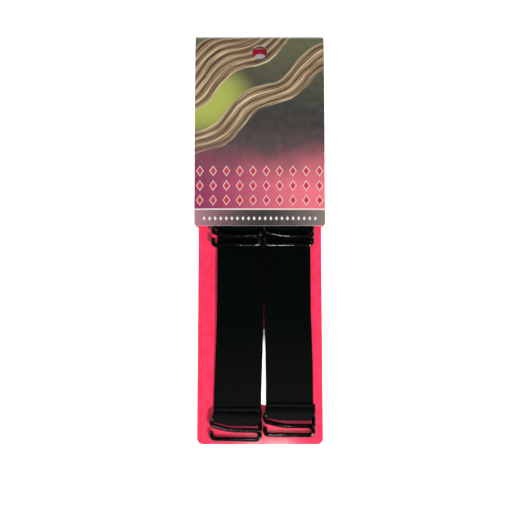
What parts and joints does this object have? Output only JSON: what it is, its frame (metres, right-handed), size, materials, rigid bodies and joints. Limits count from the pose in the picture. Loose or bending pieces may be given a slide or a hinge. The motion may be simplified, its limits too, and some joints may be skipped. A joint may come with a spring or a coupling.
{
  "type": "pair of elastic wig grip bands on a folded hang card",
  "caption": "Flat elastic bands with bent wire hooks in stitched hems, side by side on a slotted card under a folded header with a hang hole, for gripping a wig or a pet's costume.",
  "frame": {"origin": "on the floor, under the middle of the pack lying on its back", "axes": "+X to the right across the card, +Y up the card towards the hang hole, +Z out of the card's face"},
  "size_m": [0.0706, 0.223, 0.0119],
  "materials": {
    "header_card": "printed gloss",
    "backing_card": "gloss pink",
    "elastic": "woven, matt black",
    "wire": "gloss black"
  },
  "bodies": {
    "root": {"header_card": "header_card", "backing_card": "backing_card", "band_left": "elastic", "band_right": "elastic", "hook_upper_left": "wire", "hook_upper_right": "wire", "hook_lower_left": "wire", "hook_lower_right": "wire"}
  },
  "joints": []
}
